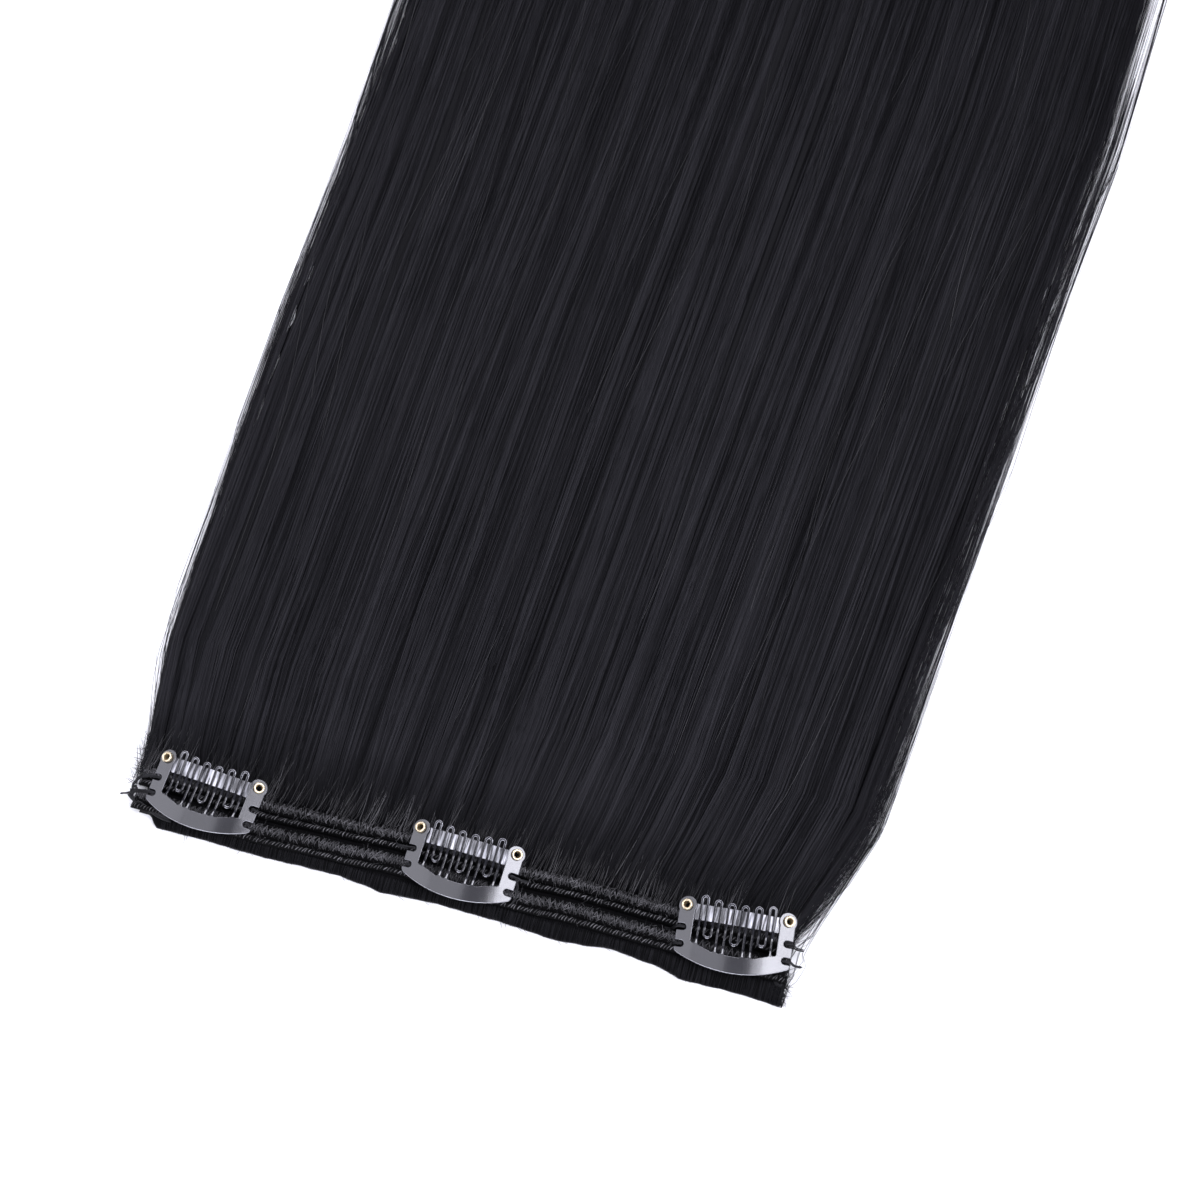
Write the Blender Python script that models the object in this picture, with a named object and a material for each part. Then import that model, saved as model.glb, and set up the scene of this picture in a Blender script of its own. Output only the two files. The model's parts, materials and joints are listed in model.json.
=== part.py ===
# Clip-in hair weft: straight hair on a two-track sewn band that carries three snap comb clips.
# The weft runs along X, its hair flows to +Y, and it lies on z = 0 with the clips on top.
# All sizes are in metres and degrees.

from math import asin, cos, degrees, pi, radians, sin, sqrt, tan

import bmesh
import bpy
from mathutils import Vector

# Hair
WEFT_LENGTH = 0.196  # sewn band, end to end
HAIR_LENGTH = 0.450  # front roll to the longest tips
ROLL_DEPTH = 0.0038  # hair that shows in front of the lower track
BED_HEIGHT = 0.0026  # hair under the tracks
LOCK_COUNT = 14
LOCK_OVERLAP = 1.4  # a lock's width over the locks' pitch
LOCK_WANDER = 0.0035  # how far a lock strays sideways
LOCK_SWING = 5.0  # a lock's slow wave along its length, in radians
LOCK_PHASE = 1.7  # the wave's start from one lock to the next, in radians
LOCK_SETTLE = 0.2  # share of the length over which the wave grows
LOCK_UNEVEN = 0.10  # share of its height that a lock's height varies by
LOCK_ROUNDNESS = 0.8  # 1 for an elliptic section, less for a fuller one
TIP_SPREAD = 0.018  # longest tip to shortest tip
TIP_FOOT = 0.0004  # underside of the free tips over the floor
FOOT_STEP = 0.00024  # every other lock lies this much higher
ROLL_EDGE = 0.25  # height of the roll's front, as a share of the bed's

# Sewn tracks
TRACK_WIDTH = 0.0058
TRACK_SPACING = 0.0071  # front edge to front edge
LOWER_TRACK_HEIGHT = 0.0022
UPPER_TRACK_HEIGHT = 0.0033
WAVE_DEPTH = 0.0008  # how far the hand-sewn band strays from straight

# Clips
CLIP_END_MARGIN = 0.0194  # an outer clip's middle from the weft's end
CLIP_PITCH = 8.0  # the rivet end stands higher, on the upper track
CLIP_OVERHANG = 0.0022  # lower edge in front of the lower track
CLIP_WIDTH = 0.0326
ARM_WIDTH = 0.0043
ARM_END_RADIUS = 0.0025
RIVET_RISE = 0.0171  # lower edge to the rivets
PLATE_THICKNESS = 0.00055
EDGE_RADIUS = 0.034  # curve of the lower edge
CORNER_RADIUS = 0.0016
BOW_RADIUS = 0.048  # the plate arches over its width
BAND_HEIGHT = 0.0034  # frame's lower band, all along its curve
ROOT_RISE = 0.0046  # lower edge to the roots of the teeth, along the same curve
NOTCH_RISES = (0.0062, 0.0109)
NOTCH_WIDTH = 0.0019
NOTCH_DEPTH = 0.0026
COMB_WIDTH = 0.0224
TOOTH_PITCH = 0.0038
TOOTH_RISE = 0.0189  # lower edge to the middle loops' tops
TOOTH_WIRE = 0.0007
LOOP_RADIUS = 0.00085  # middle of the wire, at a loop's top
TOOTH_LINE_RADIUS = 0.040  # curve through the loops' tops
DIP_RISE = 0.0043  # roots to the centre of the dip between two loops
SLOT_RADIUS = 0.0007
BAR_WIDTH = 0.0047
BAR_RISE = 0.0134  # lower edge to the bar's lower edge
BAR_THICKNESS = 0.0005
BAR_SAG = 0.0006  # the bar arches less than the plate
BAR_END_RADIUS = 0.0021
BAR_END_TURN = 110.0  # round end of the bar, each way from its tip
EYELET_BORE = 0.0017
EYELET_WALL = 0.0003
EYELET_HEAD = 0.0033
EYELET_FOOT = 0.0031
HEAD_THICKNESS = 0.00045
FOOT_THICKNESS = 0.00035

# Clearances
GAP = 0.0003  # between pieces that rest on each other
RIVET_GAP = 0.0002  # along a rivet, between the plates it holds
BORE_GAP = 0.0003  # round a rivet in its holes
HAIR_GAP = 0.0007  # hair under the rivets' feet

# How finely round shapes are divided
BOW_FACETS = 5  # from the plate's middle to an arm
ARC_STEP = 30.0
EDGE_FACETS = 6
LOCK_FACETS = 6
EYELET_SIDES = 12
TRACK_STATIONS = 24

# name, place from the middle clip to an outer one, turn about the vertical
CLIPS = (
    ("left", -0.989, -3.7),
    ("middle", 0.0, -1.1),
    ("right", 1.025, 5.5),
)
CLIP_OFFSET = 0.0011  # the middle clip from the weft's middle

# share of the half weft, share of the wave's depth
BAND_WAVES = (
    (-1.00, -0.3),
    (-0.60, -1.0),
    (-0.35, 0.0),
    (-0.18, 1.0),
    (0.20, -0.1),
    (0.36, 0.65),
    (0.65, 0.2),
    (1.00, -0.3),
)

# share across a track from its front, share of its height
TRACK_PROFILE = (
    (0.00, 0.00),
    (0.00, 0.50),
    (0.05, 0.78),
    (0.13, 0.86),
    (0.22, 0.76),
    (0.32, 0.42),
    (0.42, 0.84),
    (0.54, 1.00),
    (0.80, 0.97),
    (0.95, 0.76),
    (1.00, 0.42),
    (0.98, 0.00),
)
RIDGE_SHARE = 0.42  # front of the wide ridge, where the plate rests

# share of the hair's length, left and right edge as shares of the half weft
HAIR_EDGES = (
    (0.00, -1.00, 1.00),
    (0.04, -1.04, 1.06),
    (0.12, -1.07, 1.13),
    (0.25, -1.09, 1.18),
    (0.40, -1.12, 1.25),
    (0.55, -1.13, 1.32),
    (0.70, -1.16, 1.40),
    (0.85, -1.18, 1.45),
    (1.00, -1.19, 1.50),
)

# share of the way from the band to a lock's tip, share of its width, share of the nape's height
LOCK_SECTIONS = (
    (0.000, 0.90, 0.84),
    (0.004, 1.00, 0.95),
    (0.020, 1.00, 1.00),
    (0.070, 0.98, 0.92),
    (0.160, 0.96, 0.80),
    (0.280, 1.00, 0.76),
    (0.420, 0.96, 0.70),
    (0.560, 0.98, 0.66),
    (0.700, 0.96, 0.58),
    (0.820, 0.90, 0.48),
    (0.900, 0.84, 0.38),
    (0.960, 0.66, 0.26),
    (1.000, 0.30, 0.16),
)

# share of the way from the band to the tips, share of the bed's height
BACKING_SECTIONS = (
    (0.02, 1.00),
    (0.20, 0.95),
    (0.45, 0.80),
    (0.65, 0.58),
    (0.84, 0.36),
)

# Sizes that follow
halfWeft = WEFT_LENGTH / 2
clipSpacing = halfWeft - CLIP_END_MARGIN
halfClip = CLIP_WIDTH / 2
halfInner = halfClip - ARM_WIDTH
rivetU = halfClip - ARM_WIDTH / 2
upperTrackFront = TRACK_SPACING
upperTrackBack = TRACK_SPACING + TRACK_WIDTH
combFoot = BAND_HEIGHT + GAP
bowSlope = halfInner / sqrt(BOW_RADIUS**2 - halfInner**2)
shankRadius = EYELET_BORE / 2 + EYELET_WALL
rivetHole = shankRadius + BORE_GAP
trackFloor = BED_HEIGHT + GAP


def clear_scene():
    for obj in list(bpy.data.objects):
        bpy.data.objects.remove(obj)


def material(name, color, roughness, metallic):
    made = bpy.data.materials.new(name)
    made.use_nodes = True
    shader = made.node_tree.nodes["Principled BSDF"]
    shader.inputs["Base Color"].default_value = (*color, 1.0)
    shader.inputs["Roughness"].default_value = roughness
    shader.inputs["Metallic"].default_value = metallic
    return made


def add(name, mesh, finish, parent, location=(0, 0, 0), rotation=(0, 0, 0)):
    obj = bpy.data.objects.new(name, mesh)
    bpy.context.scene.collection.objects.link(obj)
    if mesh is not None and not mesh.materials:
        mesh.materials.append(finish)
    obj.parent = parent
    obj.location = location
    obj.rotation_euler = rotation
    return obj


def finished(name, bm, smooth_under=None):
    bmesh.ops.recalc_face_normals(bm, faces=bm.faces)
    mesh = bpy.data.meshes.new(name)
    bm.to_mesh(mesh)
    bm.free()
    if smooth_under is not None:
        mesh.shade_smooth()
        mesh.set_sharp_from_angle(angle=radians(smooth_under))
    return mesh


def eased(table, share, column):
    """The table's value at a share, with level ends to each step."""
    for (a, *before), (b, *after) in zip(table, table[1:]):
        if share <= b or b == table[-1][0]:
            t = min(max((share - a) / (b - a), 0.0), 1.0)
            t = t * t * (3 - 2 * t)
            return before[column] + (after[column] - before[column]) * t


def straight(table, share, column):
    for (a, *before), (b, *after) in zip(table, table[1:]):
        if share <= b or b == table[-1][0]:
            t = min(max((share - a) / (b - a), 0.0), 1.0)
            return before[column] + (after[column] - before[column]) * t


def wave(x):
    return WAVE_DEPTH * eased(BAND_WAVES, x / halfWeft, 0)


def hair_edges(y):
    share = (y + ROLL_DEPTH) / HAIR_LENGTH
    return halfWeft * straight(HAIR_EDGES, share, 0), halfWeft * straight(HAIR_EDGES, share, 1)


def loft(name, rings, smooth_under):
    """A closed body through rings of points, with flat ends."""
    bm = bmesh.new()
    rows = [[bm.verts.new(point) for point in ring] for ring in rings]
    for near, far in zip(rows, rows[1:]):
        for i, corner in enumerate(near):
            j = (i + 1) % len(near)
            bm.faces.new((corner, near[j], far[j], far[i]))
    bm.faces.new(rows[0])
    bm.faces.new(rows[-1])
    return finished(name, bm, smooth_under)


def arc(centre, radius, start, end):
    """Points from one angle to the other, in degrees."""
    steps = max(2, round(abs(end - start) / ARC_STEP))
    angles = [radians(start + (end - start) * i / steps) for i in range(steps + 1)]
    return [(centre[0] + radius * cos(a), centre[1] + radius * sin(a)) for a in angles]


def circle(centre, radius):
    return arc(centre, radius, 0, 360)[:-1]


def mirrored(points):
    return [(-u, v) for u, v in reversed(points)]


def faceted(u, curve):
    """The curve's value at u, on straight facets between the arms."""
    step = halfInner / BOW_FACETS
    low = min(int(u / step + 1e-6), BOW_FACETS - 1) * step
    return curve(low) + (curve(low + step) - curve(low)) * (u - low) / step


def bow(u):
    """Height of the arched plate over its rivets, flat along each arm."""
    u = abs(u)
    rivet = sqrt(BOW_RADIUS**2 - halfInner**2) - bowSlope * (rivetU - halfInner)
    if u >= halfInner:
        return bowSlope * (rivetU - u)
    return faceted(u, lambda edge: sqrt(BOW_RADIUS**2 - edge**2)) - rivet


def bar_bow(u):
    """Height of the bar's underside, which lies lower under the plate towards its middle."""
    u = abs(u)
    sag = 0.0
    if u < halfInner:
        sag = faceted(u, lambda edge: BAR_SAG * (1 - (edge / halfInner) ** 2))
    return bow(u) - RIVET_GAP - sag - BAR_THICKNESS


def arched_plate(name, outlines, thickness, height):
    """A stamped plate: outlines filled with their holes, given a thickness, then arched."""
    bm = bmesh.new()
    for outline in outlines:
        corners = [bm.verts.new((u, v, 0.0)) for u, v in outline]
        for a, b in zip(corners, corners[1:] + corners[:1]):
            bm.edges.new((a, b))
    bmesh.ops.triangle_fill(bm, use_beauty=True, use_dissolve=False, edges=bm.edges[:])
    raised = bmesh.ops.extrude_face_region(bm, geom=bm.faces[:], use_keep_orig=True)
    top = [item for item in raised["geom"] if isinstance(item, bmesh.types.BMVert)]
    bmesh.ops.translate(bm, verts=top, vec=(0, 0, thickness))
    for i in range(-BOW_FACETS, BOW_FACETS + 1):
        bmesh.ops.bisect_plane(
            bm,
            geom=bm.verts[:] + bm.edges[:] + bm.faces[:],
            dist=1e-7,
            plane_co=(halfInner * i / BOW_FACETS, 0, 0),
            plane_no=(1, 0, 0),
        )
    for corner in bm.verts:
        corner.co.z += height(corner.co.x)
    bmesh.ops.dissolve_limit(
        bm, angle_limit=radians(0.5), verts=bm.verts[:], edges=bm.edges[:]
    )
    return finished(name, bm)


def frame_outline():
    reach = EDGE_RADIUS - CORNER_RADIUS
    corner_u = halfClip - CORNER_RADIUS
    corner_v = EDGE_RADIUS - sqrt(reach**2 - corner_u**2)
    turn = degrees(asin(corner_u / reach))
    edge = [radians(turn * i / EDGE_FACETS) for i in range(EDGE_FACETS)]
    right = [(EDGE_RADIUS * sin(a), EDGE_RADIUS * (1 - cos(a))) for a in edge]
    right += arc((corner_u, corner_v), CORNER_RADIUS, turn - 90, 0)
    end_u = halfClip - NOTCH_DEPTH + NOTCH_WIDTH / 2
    for rise in NOTCH_RISES:
        right.append((halfClip, rise - NOTCH_WIDTH / 2))
        right += arc((end_u, rise), NOTCH_WIDTH / 2, 270, 90)
        right.append((halfClip, rise + NOTCH_WIDTH / 2))
    lean = degrees(asin(ARM_WIDTH / 2 / ARM_END_RADIUS))
    right += arc((rivetU, RIVET_RISE), ARM_END_RADIUS, lean - 90, 270 - lean)
    return right + along_edge(BAND_HEIGHT, -halfInner) + mirrored(right)[:-1]


def beside_edge(rise, u):
    """A curve that keeps its distance to the lower edge."""
    return EDGE_RADIUS - sqrt((EDGE_RADIUS - rise) ** 2 - u**2)


def along_edge(rise, end):
    """Points of that curve, from one side of the plate to the other."""
    steps = 2 * BOW_FACETS
    places = [end * (2 * i / steps - 1) for i in range(steps + 1)]
    return [(u, beside_edge(rise, u)) for u in places]


def root_line(u):
    """Where the teeth leave the plate."""
    return beside_edge(ROOT_RISE, u)


def tooth_top(u):
    return TOOTH_RISE + TOOTH_LINE_RADIUS - sqrt(TOOTH_LINE_RADIUS**2 - u**2)


def comb_outlines():
    """The outer outline and the three slots inside the M shapes."""
    half_wire = TOOTH_WIRE / 2
    outer_radius = LOOP_RADIUS + half_wire
    inner_radius = LOOP_RADIUS - half_wire
    dip_radius = TOOTH_PITCH / 2 - LOOP_RADIUS
    leg = TOOTH_PITCH / 2 + LOOP_RADIUS
    half_comb = COMB_WIDTH / 2
    outer = along_edge(combFoot, half_comb) + [(half_comb, root_line(half_comb))]
    slots = []
    for unit in (1, 0, -1):
        middle = 2 * TOOTH_PITCH * unit
        dip = (middle, root_line(middle) + DIP_RISE)
        right_loop, left_loop = (middle + TOOTH_PITCH / 2, middle - TOOTH_PITCH / 2)
        right_top = (right_loop, tooth_top(right_loop) - outer_radius)
        left_top = (left_loop, tooth_top(left_loop) - outer_radius)
        outer.append((middle + leg + half_wire, root_line(middle + leg + half_wire)))
        outer += arc(right_top, outer_radius, 0, 180)
        outer += arc(dip, dip_radius - half_wire, 0, -180)
        outer += arc(left_top, outer_radius, 0, 180)
        outer.append((middle - leg - half_wire, root_line(middle - leg - half_wire)))
        slot = arc(right_top, inner_radius, 0, 180)
        slot += arc(dip, dip_radius + half_wire, 0, -180)
        slot += arc(left_top, inner_radius, 0, 180)
        inside = leg - half_wire
        left_foot = root_line(middle - inside) + SLOT_RADIUS
        right_foot = root_line(middle + inside) + SLOT_RADIUS
        slot += arc((middle - inside + SLOT_RADIUS, left_foot), SLOT_RADIUS, 180, 270)
        slot += arc((middle + inside - SLOT_RADIUS, right_foot), SLOT_RADIUS, 270, 360)
        slots.append(slot)
    outer.append((-half_comb, root_line(half_comb)))
    return [outer] + slots


def bar_outline():
    low, high = BAR_RISE, BAR_RISE + BAR_WIDTH
    right = [(halfInner - GAP, low)]
    right += arc((rivetU, RIVET_RISE), BAR_END_RADIUS, -BAR_END_TURN, BAR_END_TURN)
    right.append((halfInner - GAP, high))
    return right + mirrored(right)


def rivet_holes():
    return [circle((side * rivetU, RIVET_RISE), rivetHole) for side in (-1, 1)]


def eyelet_mesh():
    """A tube with a rolled head over the plate and a foot under the bar, turned about Z."""
    bore = EYELET_BORE / 2
    head_low = PLATE_THICKNESS + RIVET_GAP
    head_high = head_low + HEAD_THICKNESS
    foot_high = -(2 * RIVET_GAP + BAR_THICKNESS)
    foot_low = foot_high - FOOT_THICKNESS
    round_off = HEAD_THICKNESS / 2
    profile = [
        (bore, foot_low),
        (EYELET_FOOT / 2, foot_low),
        (EYELET_FOOT / 2, foot_high),
        (shankRadius, foot_high),
        (shankRadius, head_low),
        (EYELET_HEAD / 2, head_low),
        (EYELET_HEAD / 2, head_low + round_off),
        (EYELET_HEAD / 2 - round_off, head_high),
        (bore + round_off / 2, head_high),
        (bore, head_high - round_off / 2),
    ]
    bm = bmesh.new()
    corners = [bm.verts.new((r, 0, z)) for r, z in profile]
    edges = [bm.edges.new(pair) for pair in zip(corners, corners[1:] + corners[:1])]
    bmesh.ops.spin(
        bm,
        geom=corners + edges,
        cent=(0, 0, 0),
        axis=(0, 0, 1),
        angle=2 * pi,
        steps=EYELET_SIDES,
        use_merge=True,
    )
    bmesh.ops.remove_doubles(bm, verts=bm.verts[:], dist=1e-6)
    return finished("eyelet", bm, 40)


def track_mesh(name, front, height):
    rings = []
    for i in range(TRACK_STATIONS + 1):
        x = halfWeft * (2 * i / TRACK_STATIONS - 1)
        y = front + wave(x)
        ring = [(y + across * TRACK_WIDTH, trackFloor + up * height) for across, up in TRACK_PROFILE]
        rings.append([(x, *point) for point in ring])
    return loft(name, rings, 50)


def clip_seat(turn):
    """Height of the plate's underside at its lower edge: the arms rest on the tracks' ridges."""
    ridge = RIDGE_SHARE * TRACK_WIDTH - WAVE_DEPTH + CLIP_OVERHANG
    ridge -= halfClip * abs(sin(radians(turn)))
    slope = tan(radians(CLIP_PITCH))
    tracks = ((0.0, LOWER_TRACK_HEIGHT), (upperTrackFront, UPPER_TRACK_HEIGHT))
    return max(trackFloor + height + GAP - (front + ridge) * slope for front, height in tracks)


def nape_height():
    """Top of the hair behind the band, just under the rivets' feet."""
    seat = min(clip_seat(turn) for _, _, turn in CLIPS)
    rivet = seat + RIVET_RISE * sin(radians(CLIP_PITCH))
    return rivet - 2 * RIVET_GAP - BAR_THICKNESS - FOOT_THICKNESS - HAIR_GAP


def backing_mesh():
    tip = HAIR_LENGTH - ROLL_DEPTH
    back = upperTrackBack + WAVE_DEPTH + GAP
    stations = []
    for y, up in arc((0, 0), 1.0, 180, 90):
        stations.append((ROLL_DEPTH * y, BED_HEIGHT * (ROLL_EDGE + up * (1 - ROLL_EDGE))))
    stations += [(back + (tip - back) * share, BED_HEIGHT * up) for share, up in BACKING_SECTIONS]
    rings = []
    for y, top in stations:
        left, right = hair_edges(y)
        rings.append(
            [
                (left + top, y, 0.0),
                (left + top / 2, y, top / 2),
                (left + top, y, top),
                (right - top, y, top),
                (right - top / 2, y, top / 2),
                (right - top, y, 0.0),
            ]
        )
    return loft("backing", rings, 40)


def drift(index, share, swing):
    """A lock's own slow wave, which starts from nothing at the band."""
    return sin(swing * share + LOCK_PHASE * index) * min(1.0, share / LOCK_SETTLE)


def lock_mesh(index):
    """One lock: a half-round strand bundle from the back of the band to its tip."""
    place = index / (LOCK_COUNT - 1)
    start = upperTrackBack + GAP + wave(halfWeft * (2 * place - 1)) + WAVE_DEPTH / 2
    short = (1 - cos(LOCK_PHASE * index)) / 2
    tip = HAIR_LENGTH - ROLL_DEPTH - TIP_SPREAD * short
    foot = TIP_FOOT + FOOT_STEP * (index % 2)
    angles = [pi * i / LOCK_FACETS for i in range(LOCK_FACETS + 1)]
    rings = []
    for share, width, height in LOCK_SECTIONS:
        y = start + (tip - start) * share
        left, right = hair_edges(y)
        full = LOCK_OVERLAP * (right - left) / LOCK_COUNT / 2
        middle = left + full + place * (right - left - 2 * full)
        middle += LOCK_WANDER * drift(index, share, LOCK_SWING)
        lower = LOCK_UNEVEN * (1 + drift(index + 1, share, -LOCK_SWING)) / 2
        rise = nape_height() * height * (1 - lower) - foot
        across = [(middle + full * width * cos(a), rise * sin(a) ** LOCK_ROUNDNESS) for a in angles]
        rings.append([(x, y, foot + z) for x, z in across])
    return loft(f"lock_{index}", rings, 60)


def add_hair(finish, parent):
    """The locks, fused to the backing that they lie on."""
    hair = add("hair_locks", backing_mesh(), finish, parent)
    locks = bpy.data.collections.new("locks")
    bpy.context.scene.collection.children.link(locks)
    locks.hide_render = True
    for index in range(LOCK_COUNT):
        lock = add(f"lock_{index}", lock_mesh(index), finish, parent)
        lock.hide_render = True
        lock.display_type = "WIRE"
        locks.objects.link(lock)
        bpy.context.scene.collection.objects.unlink(lock)
    fuse = hair.modifiers.new("fuse", "BOOLEAN")
    fuse.operation = "UNION"
    fuse.solver = "EXACT"
    fuse.operand_type = "COLLECTION"
    fuse.collection = locks
    return hair


def add_clip(name, place, turn, meshes, finishes, parent):
    """One clip on its own empty, and its comb on an empty at the line that it swings about."""
    x = CLIP_OFFSET + place * clipSpacing
    seat = add(
        f"{name}_clip",
        None,
        None,
        parent,
        (x, -CLIP_OVERHANG, clip_seat(turn)),
        (radians(CLIP_PITCH), 0, radians(turn)),
    )
    hinge = add(f"{name}_hinge", None, None, seat, hinge_point())
    pieces = [
        add(f"{name}_frame", meshes["frame"], finishes["lacquer"], seat),
        add(f"{name}_comb", meshes["comb"], finishes["lacquer"], hinge),
        add(f"{name}_bar", meshes["bar"], finishes["lacquer"], seat),
    ]
    for letter, side in (("a", -1), ("b", 1)):
        lean = side * asin(bowSlope / sqrt(1 + bowSlope**2))
        pieces.append(
            add(
                f"{name}_eyelet_{letter}",
                meshes["eyelet"],
                finishes["brass"],
                seat,
                (side * rivetU, RIVET_RISE, 0),
                (0, lean, 0),
            )
        )
    return pieces


def hinge_point():
    return (0.0, BAND_HEIGHT + GAP / 2, bow(0.0) + PLATE_THICKNESS / 2)


def comb_mesh():
    mesh = arched_plate("comb", comb_outlines(), PLATE_THICKNESS, bow)
    for corner in mesh.vertices:
        corner.co -= Vector(hinge_point())
    return mesh


def centre_on_floor(pieces, parent):
    """Moves the whole part so that its box stands on the origin."""
    bpy.context.view_layer.update()
    graph = bpy.context.evaluated_depsgraph_get()
    corners = [
        piece.matrix_world @ Vector(corner)
        for piece in pieces
        for corner in piece.evaluated_get(graph).bound_box
    ]
    low = [min(corner[axis] for corner in corners) for axis in range(3)]
    high = [max(corner[axis] for corner in corners) for axis in range(3)]
    parent.location = (-(low[0] + high[0]) / 2, -(low[1] + high[1]) / 2, -low[2])
    bpy.context.view_layer.update()


def main():
    clear_scene()
    finishes = {
        "hair": material("black hair", (0.010, 0.009, 0.010), 0.42, 0.0),
        "track": material("sewn hair track", (0.014, 0.013, 0.014), 0.75, 0.0),
        "lacquer": material("black lacquered steel", (0.045, 0.045, 0.055), 0.28, 0.4),
        "brass": material("pale brass", (0.83, 0.62, 0.32), 0.25, 1.0),
    }
    origin = add("part_origin", None, None, None)
    pieces = [add_hair(finishes["hair"], origin)]
    for name, front, height in (
        ("lower_track", 0.0, LOWER_TRACK_HEIGHT),
        ("upper_track", upperTrackFront, UPPER_TRACK_HEIGHT),
    ):
        pieces.append(add(name, track_mesh(name, front, height), finishes["track"], origin))
    meshes = {
        "frame": arched_plate("frame", [frame_outline()] + rivet_holes(), PLATE_THICKNESS, bow),
        "comb": comb_mesh(),
        "bar": arched_plate("bar", [bar_outline()] + rivet_holes(), BAR_THICKNESS, bar_bow),
        "eyelet": eyelet_mesh(),
    }
    for name, place, turn in CLIPS:
        pieces += add_clip(name, place, turn, meshes, finishes, origin)
    centre_on_floor(pieces, origin)


main()
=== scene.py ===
import json
from math import asin, cos, degrees, hypot, pi, radians, sin, sqrt, tan
from random import Random

import bmesh
import bpy
from mathutils import Matrix, Vector, noise
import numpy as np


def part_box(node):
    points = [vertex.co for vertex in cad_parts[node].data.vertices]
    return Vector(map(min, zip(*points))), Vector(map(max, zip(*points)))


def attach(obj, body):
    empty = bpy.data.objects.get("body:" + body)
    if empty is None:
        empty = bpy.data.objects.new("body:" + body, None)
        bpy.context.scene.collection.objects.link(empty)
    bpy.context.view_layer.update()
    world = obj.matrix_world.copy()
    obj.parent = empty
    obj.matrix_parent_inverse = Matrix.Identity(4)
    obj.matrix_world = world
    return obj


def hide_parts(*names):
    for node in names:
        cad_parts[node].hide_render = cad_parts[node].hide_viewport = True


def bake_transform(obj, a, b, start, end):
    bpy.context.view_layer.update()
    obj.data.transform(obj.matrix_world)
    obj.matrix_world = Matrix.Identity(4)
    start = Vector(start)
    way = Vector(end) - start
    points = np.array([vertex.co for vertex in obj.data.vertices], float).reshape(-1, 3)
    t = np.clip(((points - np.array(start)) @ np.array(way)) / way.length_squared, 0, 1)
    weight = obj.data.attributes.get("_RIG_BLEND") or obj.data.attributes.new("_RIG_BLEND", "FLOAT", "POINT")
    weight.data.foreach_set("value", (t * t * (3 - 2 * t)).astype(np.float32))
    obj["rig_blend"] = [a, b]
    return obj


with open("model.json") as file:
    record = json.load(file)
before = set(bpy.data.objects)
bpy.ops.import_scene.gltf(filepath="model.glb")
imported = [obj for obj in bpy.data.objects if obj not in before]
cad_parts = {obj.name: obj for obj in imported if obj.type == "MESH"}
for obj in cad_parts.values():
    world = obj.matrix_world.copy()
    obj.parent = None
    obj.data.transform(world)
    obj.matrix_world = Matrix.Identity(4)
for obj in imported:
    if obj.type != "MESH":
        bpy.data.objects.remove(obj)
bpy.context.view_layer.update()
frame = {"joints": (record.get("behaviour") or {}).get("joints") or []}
print("frame loaded")

# Shapes are worked out in millimetres, and each mesh is turned into metres as it becomes a piece
millimetre = 0.001


def boxOf(node):
    low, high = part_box(node)
    return low / millimetre, high / millimetre


def lookUp(table, share, column=0, smooth=False):
    for (a, *before), (b, *after) in zip(table, table[1:]):
        if share <= b or b == table[-1][0]:
            t = min(max((share - a) / (b - a), 0.0), 1.0)
            if smooth:
                t *= t * (3 - 2 * t)
            return before[column] + (after[column] - before[column]) * t


def roundOff(inward, radius, least=0.0):
    # how high a rounded end stands at a distance in from it, as a share of its full height
    return sqrt(1 - (1 - min(max(inward / radius, least), 1.0)) ** 2)


def ripple(x, y, z):
    return noise.noise(Vector((x, y, z)))


# Finishes

class Value:  # a shader socket that takes part in sums
    def __init__(self, finish, socket):
        self.finish = finish
        self.socket = socket

    def math(self, operation, first, second):
        sockets = {0: first, 1: second}
        return self.finish.node("ShaderNodeMath", {"operation": operation}, sockets).out()

    def __add__(self, other):
        return self.math("ADD", self, other)

    def __radd__(self, other):
        return self.math("ADD", other, self)

    def __sub__(self, other):
        return self.math("SUBTRACT", self, other)

    def __rsub__(self, other):
        return self.math("SUBTRACT", other, self)

    def __mul__(self, other):
        return self.math("MULTIPLY", self, other)

    def __rmul__(self, other):
        return self.math("MULTIPLY", other, self)

    def __pow__(self, other):
        return self.math("POWER", self, other)


class Node:
    def __init__(self, finish, made):
        self.finish = finish
        self.made = made

    def out(self, socket=0):
        return Value(self.finish, self.made.outputs[socket])


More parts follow.
